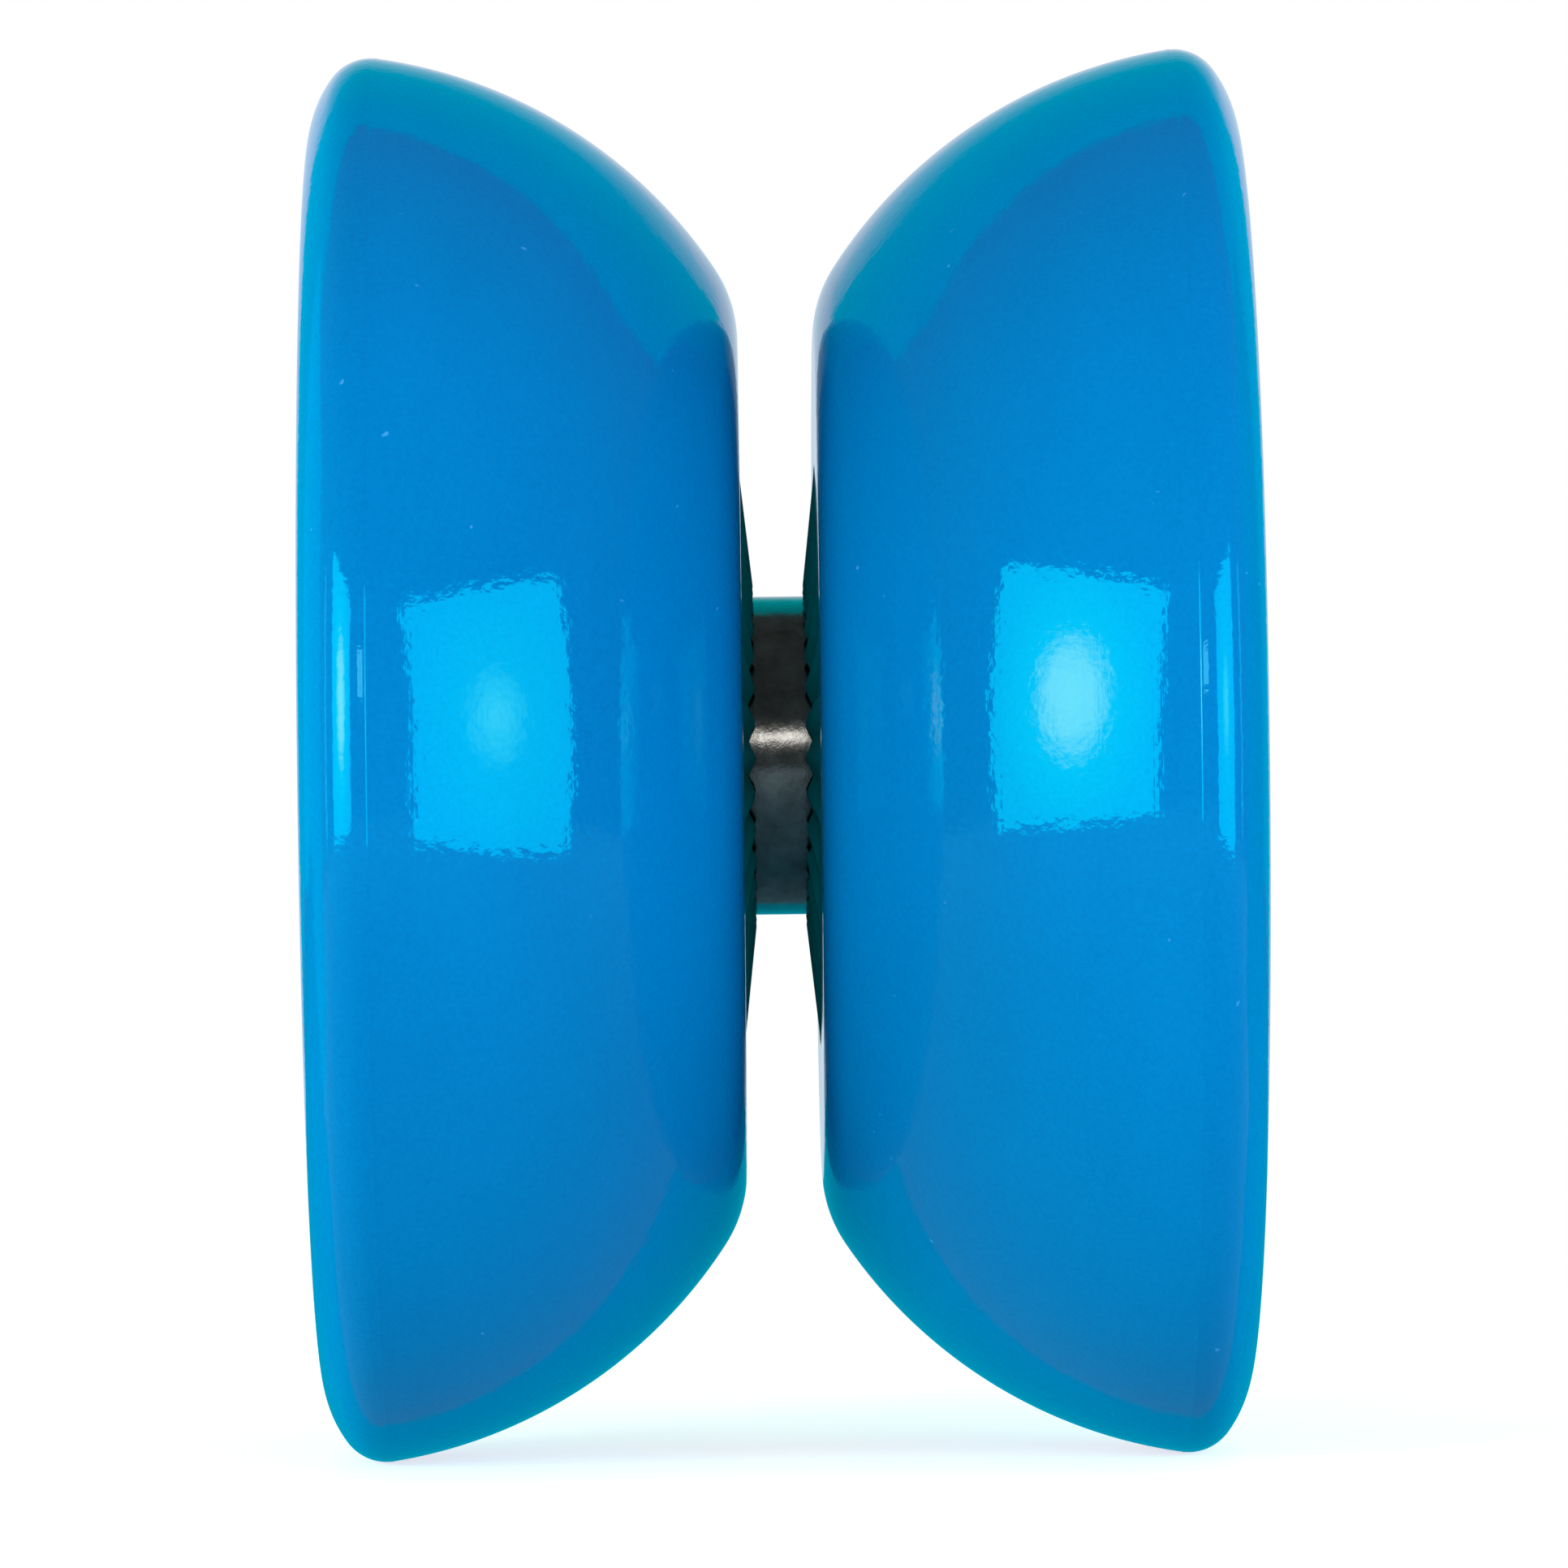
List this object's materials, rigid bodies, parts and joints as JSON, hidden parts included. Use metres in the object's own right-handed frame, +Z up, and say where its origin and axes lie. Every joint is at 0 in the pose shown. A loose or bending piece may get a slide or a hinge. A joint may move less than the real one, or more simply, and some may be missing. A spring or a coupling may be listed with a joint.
{
  "type": "yo-yo",
  "caption": "Butterfly yo-yo: two flared plastic halves screwed together over a ball bearing, with a narrow string gap ringed by starburst ridges.",
  "frame": {"origin": "centre of the bearing, on the axle, midway between the two halves", "axes": "+X along the axle from the left half to the right half, +Z up, -Y towards the front"},
  "size_m": [0.0368, 0.056, 0.056],
  "materials": {
    "shell": "gloss",
    "side_cap": "satin",
    "starburst": "matte",
    "race": "matte",
    "ball": "polished",
    "cage": "satin",
    "shield": "satin",
    "snap_ring": "satin",
    "spacer": "satin",
    "nut": "satin",
    "axle": "matte"
  },
  "bodies": {
    "bearing_outer": {"outer_race": "race", "left_shield": "shield", "right_shield": "shield", "left_snap_ring": "snap_ring", "right_snap_ring": "snap_ring"},
    "ball_cage": {"ball_cage": "cage"},
    "ball_1": {"ball_1": "ball"},
    "ball_2": {"ball_2": "ball"},
    "ball_3": {"ball_3": "ball"},
    "ball_4": {"ball_4": "ball"},
    "ball_5": {"ball_5": "ball"},
    "ball_6": {"ball_6": "ball"},
    "ball_7": {"ball_7": "ball"},
    "ball_8": {"ball_8": "ball"},
    "left_half": {"left_shell": "shell", "left_starburst_ring": "starburst", "left_spacer": "spacer", "left_nut": "nut", "left_side_cap": "side_cap", "axle": "axle", "inner_race": "race"},
    "right_spacer": {"right_spacer": "spacer"},
    "right_half": {"right_shell": "shell", "right_starburst_ring": "starburst", "right_nut": "nut", "right_side_cap": "side_cap"}
  },
  "joints": [
    {"name": "spin", "type": "hinge", "parent": "bearing_outer", "child": "left_half", "pos_m": [0, 0, 0], "axis": [1, 0, 0], "continuous": true},
    {"name": "cage_orbit", "type": "hinge", "parent": "bearing_outer", "child": "ball_cage", "pos_m": [0, 0, 0], "axis": [1, 0, 0], "continuous": true},
    {"name": "ball_1_roll", "type": "hinge", "parent": "ball_cage", "child": "ball_1", "pos_m": [0, -0.0044, -0.00182], "axis": [1, 0, 0], "continuous": true},
    {"name": "ball_2_roll", "type": "hinge", "parent": "ball_cage", "child": "ball_2", "pos_m": [0, -0.00182, -0.0044], "axis": [1, 0, 0], "continuous": true},
    {"name": "ball_3_roll", "type": "hinge", "parent": "ball_cage", "child": "ball_3", "pos_m": [0, 0.00182, -0.0044], "axis": [1, 0, 0], "continuous": true},
    {"name": "ball_4_roll", "type": "hinge", "parent": "ball_cage", "child": "ball_4", "pos_m": [0, 0.0044, -0.00182], "axis": [1, 0, 0], "continuous": true},
    {"name": "ball_5_roll", "type": "hinge", "parent": "ball_cage", "child": "ball_5", "pos_m": [0, 0.0044, 0.00182], "axis": [1, 0, 0], "continuous": true},
    {"name": "ball_6_roll", "type": "hinge", "parent": "ball_cage", "child": "ball_6", "pos_m": [0, 0.00182, 0.0044], "axis": [1, 0, 0], "continuous": true},
    {"name": "ball_7_roll", "type": "hinge", "parent": "ball_cage", "child": "ball_7", "pos_m": [0, -0.00182, 0.0044], "axis": [1, 0, 0], "continuous": true},
    {"name": "ball_8_roll", "type": "hinge", "parent": "ball_cage", "child": "ball_8", "pos_m": [0, -0.0044, 0.00182], "axis": [1, 0, 0], "continuous": true},
    {"name": "right_backoff", "type": "slide", "parent": "left_half", "child": "right_spacer", "axis": [1, 0, 0], "range_m": [0, 0.0028]},
    {"name": "right_unscrew", "type": "hinge", "parent": "right_spacer", "child": "right_half", "pos_m": [0, 0, 0], "axis": [1, 0, 0], "range_deg": [0, 1440]}
  ],
  "couplings": [
    {"joint": "cage_orbit", "follows": "spin", "ratio": 0.41667},
    {"joint": "ball_1_roll", "follows": "spin", "ratio": -2.9167},
    {"joint": "ball_2_roll", "follows": "spin", "ratio": -2.9167},
    {"joint": "ball_3_roll", "follows": "spin", "ratio": -2.9167},
    {"joint": "ball_4_roll", "follows": "spin", "ratio": -2.9167},
    {"joint": "ball_5_roll", "follows": "spin", "ratio": -2.9167},
    {"joint": "ball_6_roll", "follows": "spin", "ratio": -2.9167},
    {"joint": "ball_7_roll", "follows": "spin", "ratio": -2.9167},
    {"joint": "ball_8_roll", "follows": "spin", "ratio": -2.9167},
    {"joint": "right_backoff", "follows": "right_unscrew", "m_per_rad": 0.00011141}
  ]
}
